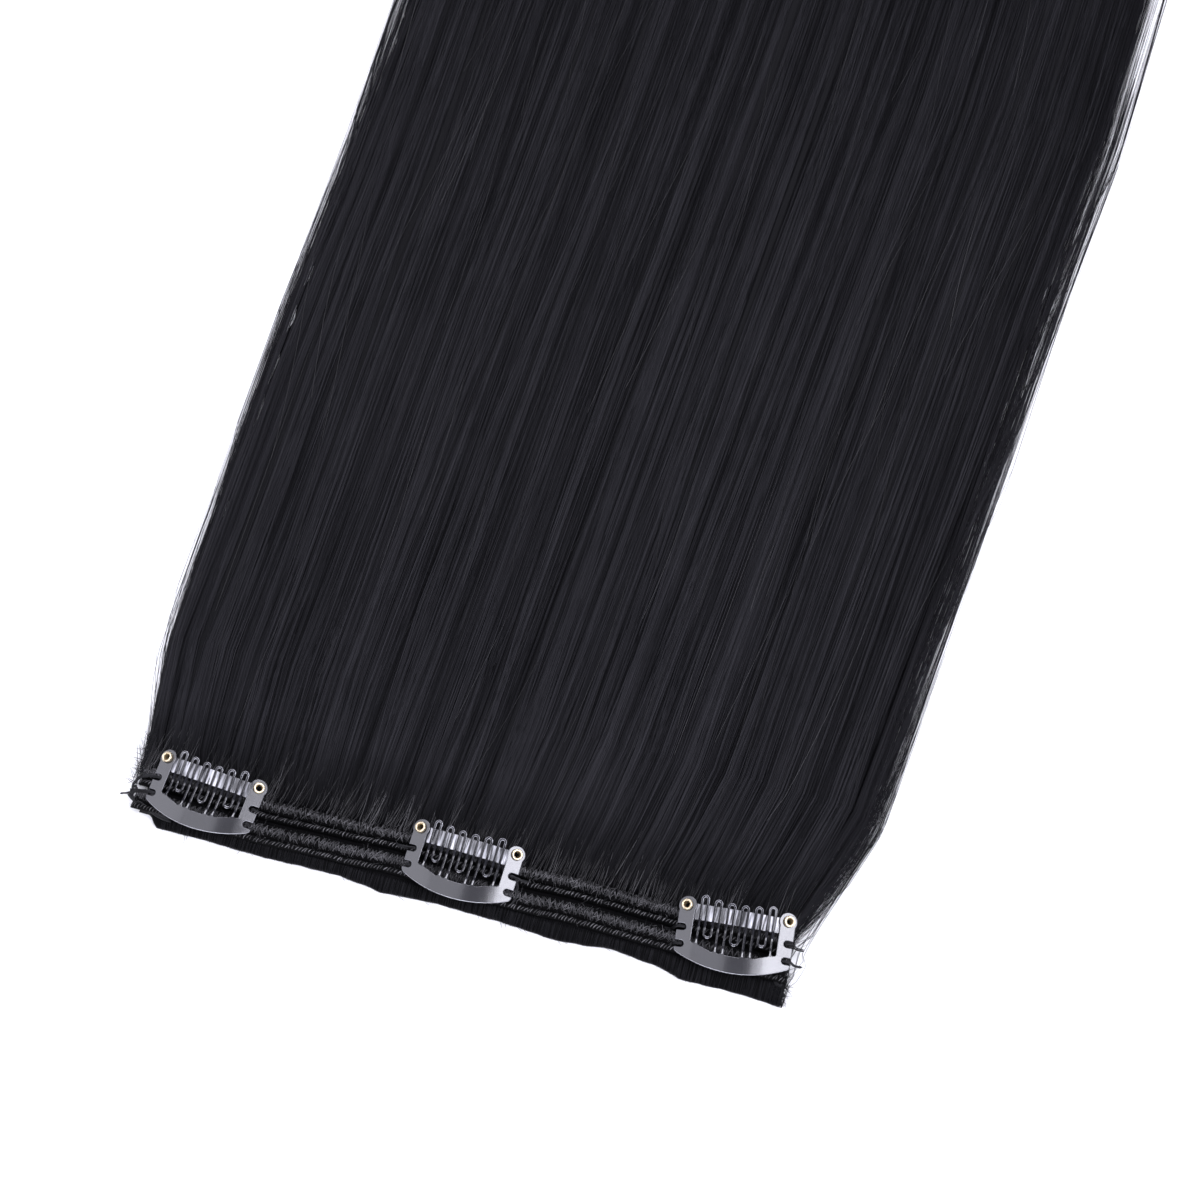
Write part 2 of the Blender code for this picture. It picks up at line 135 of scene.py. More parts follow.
class Finish:
    def __init__(self, owner, shader="Principled BSDF", **constants):
        self.owner = owner
        owner.use_nodes = True
        self.tree = owner.node_tree
        self.shader = self.tree.nodes[shader]
        self.surface(**constants)

    def node(self, kind, settings=None, sockets=None):
        made = self.tree.nodes.new(kind)
        for key, value in (settings or {}).items():
            setattr(made, key, value)
        for key, value in (sockets or {}).items():
            self.feed(made.inputs[key], value)
        return Node(self, made)

    def feed(self, socket, value):
        if isinstance(value, Value):
            self.tree.links.new(value.socket, socket)
        else:
            socket.default_value = value

    def surface(self, **sockets):
        for socket, value in sockets.items():
            self.feed(self.shader.inputs[socket.replace("_", " ")], value)
        return self.owner

    def place(self, source="Object"):
        return self.node("ShaderNodeTexCoord").out(source)

    def grain(self, place, stretch, scale, detail=2.0, rough=0.5):
        mapping = {"Vector": place, "Scale": stretch}
        spread = self.node("ShaderNodeMapping", {"vector_type": "POINT"}, mapping).out()
        sockets = {"Vector": spread, "Scale": scale, "Detail": detail, "Roughness": rough}
        return self.node("ShaderNodeTexNoise", {"noise_dimensions": "3D"}, sockets).out()

    def mark(self, name):
        return self.node("ShaderNodeAttribute", {"attribute_name": name}).out("Fac")

    def spread(self, value, low, high, least=0.0, most=1.0):
        ramp = {0: value, 1: low, 2: high, 3: least, 4: most}
        return self.node("ShaderNodeMapRange", {"clamp": True}, ramp).out()

    def paintedBandShade(self, start, end, least):  # painted shade: the hair is darkened where it comes out from under the band, for the shadow that falls there
        back = self.node("ShaderNodeSeparateXYZ", {}, {0: self.place()}).out(1)
        return self.spread(back, start * millimetre, end * millimetre, least)

    def blendColours(self, factor, dark, light):
        dark, light = (tint if isinstance(tint, Value) else (*tint, 1.0) for tint in (dark, light))
        return self.node("ShaderNodeMix", {"data_type": "RGBA"}, {0: factor, 6: dark, 7: light}).out(2)

    def bump(self, height, distance, strength=1.0):
        sockets = {"Height": height, "Distance": distance, "Strength": strength}
        return self.node("ShaderNodeBump", {}, sockets).out()


def newMaterial(name, **constants):
    return Finish(bpy.data.materials.new(name), **constants)


def strandFinish(name, dark, light, gloss, roughness, shade=None):
    finish = newMaterial(name, Specular_IOR_Level=gloss)
    slow = finish.grain(finish.place(), (1.0, 0.25, 1.0), 60.0)
    lightness = finish.mark("tint") * 0.8 + slow * 0.3
    # the painted shade behind the band, when given, darkens the strands
    if shade:
        lightness = lightness * finish.paintedBandShade(*shade)
    colour = finish.blendColours(lightness, dark, light)
    return finish.surface(Base_Color=colour, Roughness=roughness + slow * 0.15)


def hairBodyFinish(shade):
    finish = newMaterial("under hair", Specular_IOR_Level=0.05)
    flow = finish.place("UV")
    fine = finish.grain(flow, (420.0, 3.0, 1.0), 1.0, 3.0, 0.6)
    broad = finish.grain(flow, (60.0, 2.0, 1.0), 1.0)
    # painted shade behind the band darkens the streaks
    streak = (fine * 0.7 + broad * 0.3) ** 2.0 * finish.paintedBandShade(*shade)
    colour = finish.blendColours(streak, (0.0018, 0.0018, 0.0022), (0.020, 0.0196, 0.0226))
    return finish.surface(
        Base_Color=colour, Roughness=0.45 + fine * 0.2, Normal=finish.bump(fine + broad, 0.0004, 0.7)
    )


def trackFinish():
    finish = newMaterial("sewn track", Specular_IOR_Level=0.05)
    fine = finish.grain(finish.place(), (1.0, 0.6, 1.0), 2600.0, 3.0, 0.6)
    colour = finish.blendColours(fine ** 2.0, (0.0015, 0.0015, 0.0017), (0.008, 0.008, 0.0084))
    return finish.surface(
        Base_Color=colour, Roughness=0.65 + fine * 0.2, Normal=finish.bump(fine, 0.0003, 0.8)
    )


def lacquerFinish():
    # black lacquer with pale steel on its rounded edges; how much steel shows on each edge is a painted
    # highlight, set by the rim share
    finish = newMaterial("black lacquer", Specular_IOR_Level=0.5, Coat_Weight=0.6, Coat_Roughness=0.10)
    rim = finish.mark("rim")
    cloud = finish.grain(finish.place(), (1.0, 1.0, 1.0), 240.0, 3.0)
    peel = finish.grain(finish.place(), (1.0, 1.0, 1.0), 3600.0, 2.0)
    lacquer = finish.blendColours(cloud, (0.010, 0.010, 0.012), (0.020, 0.020, 0.025))
    return finish.surface(
        Base_Color=finish.blendColours(rim, lacquer, (0.50, 0.50, 0.54)),
        Metallic=rim * 0.8,
        Roughness=0.10 + cloud * 0.1 + rim * 0.3,
        Normal=finish.bump(peel, 0.00002, 0.9),
    )


def stripFinish():
    # steel brushed across its length, dark between the bright streaks; the streaks' near-white colour is a
    # painted sheen
    finish = newMaterial("brushed strip", Specular_IOR_Level=0.8, Coat_Weight=0.6, Coat_Roughness=0.08)
    streak = finish.spread(finish.grain(finish.place(), (1.0, 0.10, 0.10), 1500.0, 2.0), 0.40, 0.62)
    broad = finish.spread(finish.grain(finish.place(), (1.0, 0.30, 1.0), 330.0), 0.26, 0.60)
    colour = finish.blendColours(streak * broad, (0.02, 0.02, 0.025), (0.74, 0.74, 0.80))
    return finish.surface(
        Base_Color=colour, Roughness=0.16 + broad * 0.1, Normal=finish.bump(streak, 0.00003, 1.0)
    )


def brassFinish():
    finish = newMaterial("pale brass", Metallic=1.0)
    wear = finish.grain(finish.place(), (1.0, 1.0, 1.0), 900.0, 3.0)
    colour = finish.blendColours(wear, (0.96, 0.78, 0.50), (1.0, 0.93, 0.75))
    return finish.surface(Base_Color=colour, Roughness=0.34 + wear * 0.2)


# Pieces

def addObject(name, data):
    made = bpy.data.objects.new(name, data)
    bpy.context.scene.collection.objects.link(made)
    return made


def addPiece(name, mesh, finish, replaced=None, body="weft"):
    mesh.transform(Matrix.Scale(millimetre, 4))
    mesh.materials.clear()
    mesh.materials.append(finishes[finish])
    piece = addObject(name, mesh)
    if body:
        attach(piece, body)
    if replaced:
        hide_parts(replaced)
    return piece


def finished(name, bm, smoothUnder=None):
    mesh = bpy.data.meshes.new(name)
    bm.to_mesh(mesh)
    bm.free()
    if smoothUnder is not None:
        mesh.shade_smooth()
        mesh.set_sharp_from_angle(angle=radians(smoothUnder))
    return mesh


def closedSheet(name, columns, rows, place, floorAt):
    # a grid laid out by its place function, with a skirt down to a flat underside
    bm = bmesh.new()
    bm.loops.layers.uv.new("flow")
    bmesh.ops.create_grid(bm, x_segments=columns, y_segments=rows, size=1, calc_uvs=True)
    for corner in bm.verts:
        corner.co = place((corner.co.x + 1) / 2, (corner.co.y + 1) / 2)
    rim = [edge for edge in bm.edges if edge.is_boundary]
    skirt = bmesh.ops.extrude_edge_only(bm, edges=rim)["geom"]
    for item in skirt:
        if isinstance(item, bmesh.types.BMVert):
            item.co.z = floorAt
    lowRim = [item for item in skirt if isinstance(item, bmesh.types.BMEdge) and item.is_boundary]
    bmesh.ops.holes_fill(bm, edges=lowRim, sides=0)
    bmesh.ops.recalc_face_normals(bm, faces=bm.faces)
    return finished(name, bm, 50)


def addSpline(curve, points):
    spline = curve.splines.new("POLY")
    spline.points.add(len(points) - 1)
    spline.points.foreach_set("co", [value for point in points for value in (*point, 1.0)])
    return spline


def surfaceOf(curve, merge):
    # the curve's surface with its doubled corners merged, and a mesh to hold it
    holder = addObject(curve.name, curve)
    graph = bpy.context.evaluated_depsgraph_get()
    mesh = bpy.data.meshes.new_from_object(holder.evaluated_get(graph))
    bpy.data.objects.remove(holder)
    bm = bmesh.new()
    bm.from_mesh(mesh)
    bmesh.ops.remove_doubles(bm, verts=bm.verts, dist=merge)
    return bm, mesh


tintSteps = 8


def strandMesh(name, strands):
    # each strand is its points, its thickness at each and a tint from 0 to 1
    curve = bpy.data.curves.new(name, "CURVE")
    curve.dimensions = "3D"
    curve.bevel_depth = 1.0
    curve.bevel_resolution = 0
    curve.use_fill_caps = True
    for _ in range(tintSteps):
        curve.materials.append(None)
    for points, radii, tint in strands:
        spline = addSpline(curve, points)
        spline.points.foreach_set("radius", radii)
        spline.material_index = min(int(tint * tintSteps), tintSteps - 1)
    bm, mesh = surfaceOf(curve, 1e-5)
    bm.to_mesh(mesh)
    bm.free()
    steps = [0] * len(mesh.polygons)
    mesh.polygons.foreach_get("material_index", steps)
    shade = mesh.attributes.new("tint", "FLOAT", "FACE")
    shade.data.foreach_set("value", [step / (tintSteps - 1) for step in steps])
    mesh.polygons.foreach_set("material_index", [0] * len(steps))
    mesh.shade_smooth()
    return mesh


rng = Random(11)
between = rng.uniform


def taper(count, thick, thin=0.25):
    return [thick * (1 - (1 - thin) * (k / (count - 1)) ** 3) for k in range(count)]


def curl(amount):
    return Vector((between(-1, 1), between(-1, 1), between(-1, 1))) * amount


# The band and the hair, as the frame holds them

lowerLow, lowerHigh = boxOf("lower_track")
upperLow, upperHigh = boxOf("upper_track")
hairLow, hairHigh = boxOf("hair_locks")

band = {
    "waveDepth": 0.8,  # how far the hand-sewn band strays from straight
    "waves": (  # share of the half weft, share of the wave's depth
        (-1.00, -0.3), (-0.60, -1.0), (-0.35, 0.0), (-0.18, 1.0),
        (0.20, -0.1), (0.36, 0.65), (0.65, 0.2), (1.00, -0.3),
    ),
    "profile": (  # share across a track from its front, share of its height
        (0.00, 0.50), (0.05, 0.78), (0.13, 0.86), (0.22, 0.76), (0.32, 0.42),
        (0.42, 0.84), (0.54, 1.00), (0.80, 0.97), (0.95, 0.76), (1.00, 0.42),
    ),
    "lumps": 0.16,
    "lumpLength": 2.6,
    "endInsets": (1.6, 0.8),  # left and right
    "endRound": 2.2,
    "columns": 260,
    "rows": 22,
}
midX = (lowerLow.x + lowerHigh.x) / 2
halfWeft = (lowerHigh.x - lowerLow.x) / 2
bandLeft, bandRight = lowerLow.x + band["endInsets"][0], lowerHigh.x - band["endInsets"][1]
frontY = lowerLow.y + band["waveDepth"]
trackFloor = lowerLow.z
trackWidth = lowerHigh.y - lowerLow.y - 2 * band["waveDepth"]
tracks = {
    "lower": (frontY, lowerHigh.z - trackFloor),
    "upper": (upperLow.y + band["waveDepth"], upperHigh.z - trackFloor),
}
bandBack = tracks["upper"][0] + trackWidth

hairColours = ((0.0022, 0.0022, 0.0027), (0.0265, 0.026, 0.030))
# painted shade behind the band: where it starts, where it ends, and the least lightness it leaves
napeShade = (bandBack + 1, bandBack + 22, 0.05)
finishes = {
    "lock": strandFinish("hair strands", *hairColours, 0.04, 0.38, napeShade),
    "wisp": strandFinish("loose hairs", *hairColours, 0.08, 0.38),
    "under": hairBodyFinish(napeShade),
    "track": trackFinish(),
    "fibre": strandFinish("track fibres", (0.002, 0.002, 0.0022), (0.175, 0.172, 0.181), 0.15, 0.5),
    "thread": strandFinish("sewing thread", (0.003, 0.003, 0.0035), (0.030, 0.030, 0.033), 0.2, 0.5),
    "lacquer": lacquerFinish(),
    "strip": stripFinish(),
    "brass": brassFinish(),
}
print("finishes made")


def wave(x):
    return band["waveDepth"] * lookUp(band["waves"], (x - midX) / halfWeft, smooth=True)


def onTrack(track, x, across, lift=0.0):
    front, height = tracks[track]
    height *= roundOff(min(x - bandLeft, bandRight - x), band["endRound"], 0.03)
    up = trackFloor + height * lookUp(band["profile"], across) + lift
    return Vector((x, front + wave(x) + across * trackWidth, up))


def bandTop(x, y):
    # height of whatever the band shows at a place
    for track, (front, height) in tracks.items():
        across = (y - front - wave(x)) / trackWidth
        if 0 <= across <= 1:
            return onTrack(track, x, across).z
    return trackFloor if y < bandBack else hairTop(0.0, y)


hair = {
    "bedHeight": 2.6,
    "edges": (  # share of the length, left and right edge in half wefts
        (0.00, -0.965, 1.00), (0.014, -0.965, 1.00), (0.03, -0.965, 0.965), (0.05, -1.01, 0.99),
        (0.12, -1.07, 1.10), (0.25, -1.09, 1.17), (0.40, -1.12, 1.25), (0.55, -1.13, 1.32),
        (0.70, -1.16, 1.40), (0.85, -1.18, 1.45), (1.00, -1.19, 1.50),
    ),
    "heights": (  # share of the way from the band to the tips, share of the nape's height
        (0.000, 0.78), (0.006, 0.90), (0.020, 0.94), (0.07, 0.86), (0.16, 0.76), (0.28, 0.72),
        (0.42, 0.66), (0.56, 0.61), (0.70, 0.53), (0.82, 0.43), (0.90, 0.32), (0.96, 0.22),
        (1.000, 0.12),
    ),
    "rollDepths": (  # share of the half weft, hair in front of the lower track
        (-0.925, 0.2), (-0.900, 3.4), (-0.74, 3.1), (-0.60, 3.5), (-0.33, 2.8), (-0.20, 4.3),
        (-0.03, 3.3), (0.15, 3.5), (0.33, 4.5), (0.50, 2.7), (0.64, 4.2), (0.70, 5.8),
        (0.90, 5.5), (1.02, 6.2),
    ),
    "rollEdge": 0.25,  # height of the roll's front, as a share of the bed's
    "rows": ((0.14, 0.0), (0.22, 13.0), (0.26, 13.9), (0.30, 20.0), (1.0, 437.0)),
    "rollRows": 0.14,
    "sideRound": 7.0,
    "endRound": 1.6,
    "relief": 0.35,
    "sideInset": 2.2,  # the loose strands make the edges beyond this
    "tipRagged": 11.0,
    "columns": 170,
    "rowCount": 150,
}


def hairEdges(y):
    share = (y - hairLow.y) / (hairHigh.y - hairLow.y)
    return [midX + halfWeft * lookUp(hair["edges"], share, side) for side in (0, 1)]


def hairPlace(s, y):
    left, right = hairEdges(y)
    return left + (right - left) * (s + 1) / 2


def hairTop(s, y):
    # s runs from -1 at the left edge to 1 at the right one
    left, right = hairEdges(y)
    inward = (1 - min(abs(s), 1.0)) * (right - left) / 2
    if y < bandBack:
        high, rounding = hair["bedHeight"], hair["endRound"]
    else:
        share = (y - bandBack) / (hairHigh.y - bandBack)
        high = hairHigh.z * lookUp(hair["heights"], share)
        rounding = hair["sideRound"]
        high += hair["relief"] * ripple(s * 15.0, y * 0.006, 3.0)
    return high * roundOff(inward, rounding)


def rollDepth(x):
    uneven = 0.3 * ripple(x / 5.0, 0.0, 1.0)
    return lookUp(hair["rollDepths"], (x - midX) / halfWeft) + uneven


def rollPoint(x, turn, lift=0.0):
    # turn runs from 0 at the roll's front to 1 at the lower track
    angle = pi / 2 * turn
    edge = hair["rollEdge"]
    high = hair["bedHeight"] * (edge + (1 - edge) * sin(angle)) + lift * sin(angle)
    return Vector((x, frontY - (rollDepth(x) + lift) * cos(angle), high))


def bodyPlace(across, along):
    s = 2 * across - 1
    if along < hair["rollRows"]:
        x = hairPlace(s, frontY)
        if abs(s) > 0.98:
            x -= s * 1.2 * abs(ripple(along * 20.0, s, 0.0))
        point = rollPoint(x, along / hair["rollRows"])
        point.z *= roundOff((1 - abs(s)) * halfWeft, hair["endRound"])
        return point
    y = frontY + lookUp(hair["rows"], along)
    ragged = ripple(s * 9.0, 0.0, 7.0) - 0.6
    y += hair["tipRagged"] * ragged * max(0.0, (along - 0.6) / 0.4) ** 3
    inset = hair["sideInset"] * (1 + ripple(s, y / 9.0, 5.0))
    inset *= min(1.0, max(y - frontY, 0.0) / 15.0)
    return Vector((hairPlace(s, y) - s * inset, y, hairTop(s * 0.998, y)))


bodyMesh = closedSheet("hair_body", hair["columns"], hair["rowCount"], bodyPlace, 0.05)
addPiece("hair_body", bodyMesh, "under", "hair_locks")
print("hair body made")


# The loose strands over it

strands = {
    "pieces": 4,
    "clumps": 136,
    "perClump": 27,
    "stations": (
        0.0, 0.008, 0.022, 0.05, 0.10, 0.17, 0.25, 0.34, 0.43, 0.52, 0.61, 0.70, 0.79, 0.87, 0.94, 1.0,
    ),
    "thick": (0.09, 0.15),
    "lift": (0.15, 0.55),
    "tipSpread": 16.0,
    "wander": 2.6,
    "stray": 1.0,
}


def clumpStrands(place):
    half = between(0.9, 2.1) / strands["clumps"]
    lift = between(*strands["lift"])
    tip = hairHigh.y - strands["tipSpread"] * rng.random()
    wander = strands["wander"] * between(-1, 1) / halfWeft
    pace = between(2.0, 5.0)
    phase = between(0, 2 * pi)
    shade = between(0, 0.4)
    narrow = between(0.2, 0.5)
    count = strands["perClump"] if abs(place) < 0.98 else strands["perClump"] // 2
    for _ in range(count):
        a = between(-1, 1)
        y1 = tip - 10.0 * rng.random() ** 2
        stray = strands["stray"] * between(-1, 1) / halfWeft
        strayPace = between(3.0, 9.0)
        strayPhase = between(0, 2 * pi)
        up = between(0.0, 0.25)
        points = []
        x0 = hairPlace(place, bandBack)
        y0 = bandBack + wave(x0) - between(0.3, 1.2)
        for t in strands["stations"]:
            y = y0 + (y1 - y0) * t
            grown = min(1.0, t / 0.15)
            s = place + a * half * (1 - narrow * t) + wander * sin(phase + pace * t) * grown
            s += stray * sin(strayPhase + strayPace * t) * grown
            z = hairTop(s, y) + 0.06 + up + lift * sqrt(1 - a * a) * min(1.0, t / 0.05)
            if t == 0.0:
                z = trackFloor + 1.2
            points.append((hairPlace(s, y), y, z))
        thick = between(*strands["thick"])
        yield points, taper(len(points), thick), min(0.99, shade + rng.random() ** 3.5 * 0.8)


for index in range(strands["pieces"]):
    bundle = []
    for clump in range(index, strands["clumps"], strands["pieces"]):
        bundle += clumpStrands(-1 + 2 * (clump + between(0.1, 0.9)) / strands["clumps"])
    addPiece(f"hair_strands_{index + 1}", strandMesh("strands", bundle), "lock")
print("strands made")


wisps = {
    # side, single hairs, thin locks, hairs at the band's corner, how far out they spread
    "edges": ((-1, 150, 7, 0, 4.2), (1, 190, 12, 240, 7.0)),
    "perLock": 12,
    "stations": 14,
    "thick": (0.03, 0.075),
    "strays": 130,
    "rootFans": 700,
    "rollHairs": 640,
    "rollStrays": 22,
}


def besideEdge(side, span, out, swing, high):
    # a hair that leaves the edge, runs beside it and wanders in and out
    amount, pace, phase = swing
    low = bandBack if side < 0 else frontY + between(-5.0, 12.0)
    points = []
    count = wisps["stations"]
    for k in range(count):
        t = span[0] + (span[1] - span[0]) * k / (count - 1)
        y = low + (hairHigh.y - low) * t
        edge = hairEdges(y)[0 if side < 0 else 1]
        fade = min(1.0, k / 4)
        x = edge + side * (out * fade - 1.5 * (1 - fade) + amount * sin(phase + pace * t) * fade)
        points.append((x, y, 0.15 + high * (1 - 0.5 * t)))
    return points, taper(count, between(*wisps["thick"])), between(0.1, 0.9)


def edgeWisps():
    for side, singles, locks, corner, spread in wisps["edges"]:
        for _ in range(singles):
            start = between(0.0, 0.5) if rng.random() < 0.6 else between(-0.03, 0.05)
            span = (max(start, 0.0 if side > 0 else start), min(1.0, start + between(0.15, 0.8)))
            swing = (between(0.2, 1.3), between(3, 8), between(0, 2 * pi))
            out = rng.random() ** 1.8 * spread - 1.0
            yield besideEdge(side, span, out, swing, between(0.2, 1.6))
        for _ in range(locks):
            start = between(0.0, 0.55)
            span = (start, min(1.0, start + between(0.2, 0.5)))
            middle = between(0.2, 0.75) * spread
            swing = (between(0.4, 1.1), between(5, 11), between(0, 2 * pi))
            high = between(0.4, 1.4)
            for _ in range(wisps["perLock"]):
                yield besideEdge(side, span, middle + rng.gauss(0.0, 0.15), swing, high)
        for _ in range(corner):
            span = (between(0.0, 0.02), between(0.06, 0.25))
            swing = (between(0.1, 0.6), between(8, 20), between(0, 2 * pi))
            out = rng.random() ** 1.4 * spread - 0.8
            yield besideEdge(side, span, out, swing, between(0.2, 2.0))


def strayHairs():
    # single hairs that cross the others at a slant
    for _ in range(wisps["strays"]):
        s, y = between(-0.95, 0.95), between(bandBack + 4, hairHigh.y - 80)
        length, lean = between(25, 110), between(-0.16, 0.16)
        bend = between(-6, 6)
        points = []
        for k in range(10):
            t = k / 9
            along = y + length * t
            x = hairPlace(s, along) + lean * length * t + bend * t * (1 - t)
            points.append((x, along, hairTop(s, along) + 0.75 + 0.5 * sin(pi * t)))
        yield points, taper(10, between(0.035, 0.055)), 0.04 + 0.36 * rng.random() ** 2


def rootFans():
    # fine hairs that rise from the upper ridge and lie down over the nape
    for _ in range(wisps["rootFans"]):
        x = midX + halfWeft * between(-0.99, 0.99)
        across = between(0.6, 0.98)
        start = onTrack("upper", x, across, 0.1)
        length = 4 + 14 * rng.random() ** 2.5
        lean = between(-0.05, 0.28)
        points = [start, start + Vector((lean * 1.2, 1.2, between(0.2, 0.6)))]
        for k in range(1, 7):
            y = start.y + 2.0 + length * (k / 6) ** 1.5
            drop = max(0.0, 1 - k / 3)
            s = (x - midX) / halfWeft
            z = max(hairTop(s * 0.95, max(y, bandBack + 1)) + 0.5 + drop * 0.9, 2.0)
            points.append(Vector((x + lean * (y - start.y), y, z)))
        yield points, taper(len(points), between(0.035, 0.07)), rng.random() ** 4 * 0.8


def rollStrands():
    # the hair that turns over in front of the lower track
    for _ in range(wisps["rollHairs"]):
        x = midX + halfWeft * between(-0.9, 1.0)
        lean = between(-0.5, 0.7)
        lift = between(0.05, 0.25)
        points = [rollPoint(x + lean * k / 6, 0.02 + 1.05 * min(k / 6, 0.93), lift) for k in range(7)]
        yield points, [0.10, 0.12, 0.12, 0.12, 0.12, 0.11, 0.08], rng.random() ** 2 * 0.35
    for _ in range(wisps["rollStrays"]):
        start = rollPoint(midX + halfWeft * between(-0.85, 0.98), 0.4, 0.1)
        out = Vector((between(-1.0, 3.0), -between(0.8, 2.2), 0.0))
        bend = curl(1.2)
        points = []
        for k in range(7):
            point = start + out * (k / 6) * 1.6 + bend * (k / 6) ** 2
            point.z = max(start.z * (1 - k / 4), 0.12)
            points.append(point)
        yield points, taper(7, between(0.03, 0.05)), between(0.0, 0.6)


addPiece("edge_wisps", strandMesh("wisps", edgeWisps()), "wisp")
addPiece("root_hairs", strandMesh("fans", [*rootFans(), *strayHairs()]), "fibre")
addPiece("roll_strands", strandMesh("roll", rollStrands()), "wisp")
print("wisps and roll made")


# The sewn tracks

def trackPlace(track):
    def place(across, along):
        x = bandLeft + (bandRight - bandLeft) * across
        lump = ripple(x / band["lumpLength"], along * 4, len(track))
        return onTrack(track, x, along, band["lumps"] * lump)

    return place


stitches = {
    "whipPitch": 0.95,
    "whipThick": 0.15,
    "zigzags": 2,
    "zigzagPitch": 1.7,
    "zigzagThick": 0.10,
    "fibres": 820,
    "fuzz": 700,
    "underClip": 13.0,  # painted shade: the pile is darkened this far from a clip's middle, where the clip shades it
}
clipMiddles = [joint["pos_m"][0] / millimetre for joint in frame["joints"]]


# painted shade: fibres under a clip keep only an eighth of their tint
def shadedPileTint(x, tint):
    inClipShade = any(abs(x - middle) < stitches["underClip"] for middle in clipMiddles)
    return tint * 0.12 if inClipShade else tint


def whipStitches(track):
    x = bandLeft + 0.3
    while x < bandRight - 0.5:
        slant = rng.gauss(0.7, 0.25)
        low, high = between(0.0, 0.06), between(0.20, 0.30)
        points = [
            onTrack(track, x + slant * k / 4, low + (high - low) * k / 4, 0.05 + between(0, 0.08))
            for k in range(5)
        ]
        thick = stitches["whipThick"] * between(0.6, 1.0)
        yield points, [thick * share for share in (0.6, 0.93, 1.0, 0.87, 0.5)], between(0.2, 1.0)
        x += stitches["whipPitch"] * between(0.85, 1.15)


def zigzags(track):
    for _ in range(stitches["zigzags"]):
        x = bandLeft + between(0.2, 1.0)
        back = False
        points = []
        while x < bandRight - 0.4:
            across = between(0.86, 0.98) if back else between(0.40, 0.50)
            points.append(onTrack(track, x, across, 0.10 + between(0, 0.1)))
            points.append(onTrack(track, x + 0.25, 0.68, 0.16 + between(0, 0.12)))
            x += stitches["zigzagPitch"] / 2 * between(0.75, 1.25)
            back = not back
        yield points, [stitches["zigzagThick"]] * len(points), between(0.3, 0.7)


def ridgeFibres(track):
    for _ in range(stitches["fibres"]):
        x = between(bandLeft, bandRight)
        lean = rng.choice((-1, 1)) * rng.gauss(1.2, 0.5) + 0.25
        low = between(0.36, 0.66)
        high = low + between(0.18, 0.40)
        rise = between(0.05, 0.40)
        points = []
        for k in range(5):
            t = k / 4
            up = 0.04 + rise * sin(pi * t)
            points.append(onTrack(track, x + lean * (t - 0.5), min(low + (high - low) * t, 1.0), up))
        tint = shadedPileTint(x, rng.random() ** 3.6)
        yield points, taper(5, between(0.06, 0.11), 0.5), tint


def trackFuzz(track):
    for _ in range(stitches["fuzz"]):
        x = between(bandLeft, bandRight)
        start = onTrack(track, x, between(0.02, 1.0))
        away = Vector((rng.gauss(0.15, 0.5), rng.gauss(0.15, 0.6), between(0.15, 0.8)))
        length = between(0.6, 2.0)
        bend = curl(0.3)
        points = [start + away * length * t + bend * t * t for t in (0.0, 0.35, 0.7, 1.0)]
        yield points, taper(4, between(0.025, 0.045)), shadedPileTint(x, rng.random() ** 2.4)


for track in tracks:
    baseMesh = closedSheet(track, band["columns"], band["rows"], trackPlace(track), trackFloor)
    addPiece(f"{track}_track_base", baseMesh, "track", f"{track}_track")
    sewing = [*whipStitches(track), *zigzags(track)]
    addPiece(f"{track}_stitches", strandMesh("stitches", sewing), "fibre")
    pile = [*ridgeFibres(track), *trackFuzz(track)]
    addPiece(f"{track}_pile", strandMesh("pile", pile), "fibre")
print("tracks made")


# The clips, each in its own frame: u along the clip, v from its lower edge to the rivets, w up

